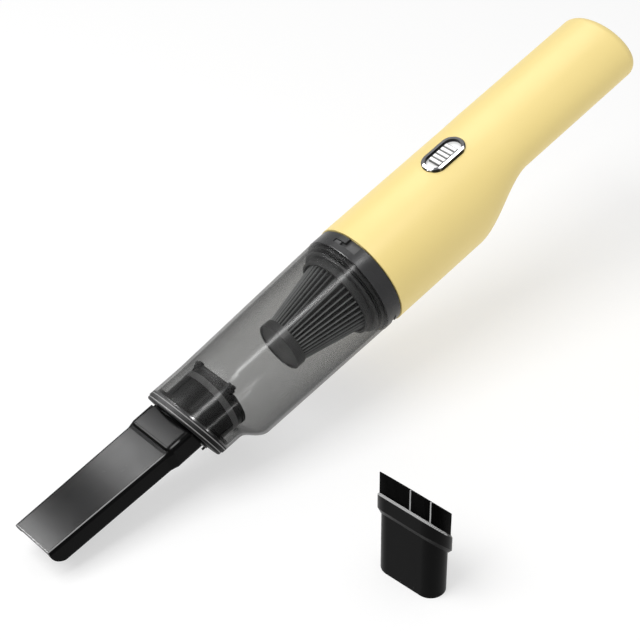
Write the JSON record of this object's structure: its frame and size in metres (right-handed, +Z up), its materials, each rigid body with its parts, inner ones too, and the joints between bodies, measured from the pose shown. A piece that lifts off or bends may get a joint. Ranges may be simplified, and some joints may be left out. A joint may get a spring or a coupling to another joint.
{
  "type": "handheld vacuum cleaner",
  "caption": "Slim handheld vacuum cleaner with a clear dust bin, pleated cone filter, slide switch, flat crevice nozzle and a loose oval brush nozzle.",
  "frame": {"origin": "centre of the hand grip, on the handle's centre line", "axes": "+X level along the tool towards the handle's end, +Z up; the tool is held nose down by 16 degrees about Y, with the switch on top"},
  "size_m": [0.4319, 0.1898, 0.1571],
  "materials": {
    "butter_shell": "satin moulded plastic",
    "graphite": "fine matte moulding",
    "collar_gray": "glossy moulding",
    "smoke_clear": "clear smoke plastic",
    "black_gloss": "glossy black",
    "black_satin": "satin black",
    "flap_rubber": "soft black rubber",
    "filter_gray": "matte gray moulding",
    "pleat_fabric": "pleated filter paper",
    "chrome": "polished",
    "white": "glossy white",
    "fan_white": "matte white moulding",
    "steel": "bright steel",
    "board_green": "solder mask",
    "cell_wrap": "shrink wrap",
    "lamp_clear": "clear light pipe",
    "bristle": "nylon bristles"
  },
  "bodies": {
    "handheld": {"housing": "butter_shell", "front_chassis": "graphite", "fan_guard": "graphite", "fan_shroud": "graphite", "motor_mount": "graphite", "motor_screws": "steel", "motor_can": "steel", "motor_end_bell": "black_satin", "switch_bezel": "chrome", "switch_bed": "white", "slide_switch": "black_satin", "control_board": "board_green", "board_screws": "steel", "battery_cell_left": "cell_wrap", "battery_cell_right": "cell_wrap", "battery_cradle": "graphite", "tail_plate": "graphite", "charge_socket": "steel", "charge_board": "board_green", "charge_lamp": "lamp_clear"},
    "power_slider": {"switch_slider": "black_gloss", "slider_ribs": "white"},
    "fan": {"impeller": "fan_white", "motor_shaft": "steel"},
    "filter": {"filter_flange": "filter_gray", "filter_media": "pleat_fabric", "filter_cap": "filter_gray", "filter_gasket": "flap_rubber"},
    "dust_bin": {"bin_collar": "collar_gray", "bin_shell": "smoke_clear", "inlet_duct": "black_gloss", "duct_band": "collar_gray", "shoulder_tab": "black_satin"},
    "flap": {"inlet_flap": "flap_rubber"},
    "nozzle": {"crevice_nozzle": "black_satin"},
    "brush": {"brush_stem": "black_satin", "bristles_near": "bristle", "bristles_far": "bristle", "bristles_left": "bristle", "bristles_right": "bristle"}
  },
  "joints": [
    {"name": "switch_slide", "type": "slide", "parent": "handheld", "child": "power_slider", "axis": [0.9613, 0, 0.2756], "range_m": [-0.002, 0.002]},
    {"name": "fan_spin", "type": "hinge", "parent": "handheld", "child": "fan", "pos_m": [-0.16178, 0, -0.05981], "axis": [0.9613, 0, 0.2756], "continuous": true},
    {"name": "bin_twist", "type": "hinge", "parent": "handheld", "child": "dust_bin", "pos_m": [-0.16178, 0, -0.05981], "axis": [-0.9613, 0, -0.2756], "range_deg": [0, 14]},
    {"name": "filter_pull", "type": "slide", "parent": "handheld", "child": "filter", "axis": [-0.9613, 0, -0.2756], "range_m": [0, 0.01]},
    {"name": "flap_swing", "type": "hinge", "parent": "dust_bin", "child": "flap", "pos_m": [-0.25857, 0, -0.06946], "axis": [0, -1, 0], "range_deg": [0, 40]},
    {"name": "nozzle_pull", "type": "slide", "parent": "dust_bin", "child": "nozzle", "axis": [-0.9613, 0, -0.2756], "range_m": [0, 0.02]},
    {"name": "brush_lift", "type": "slide", "parent": "handheld", "child": "brush", "axis": [0, 0, 1], "range_m": [0, 0.1]}
  ]
}
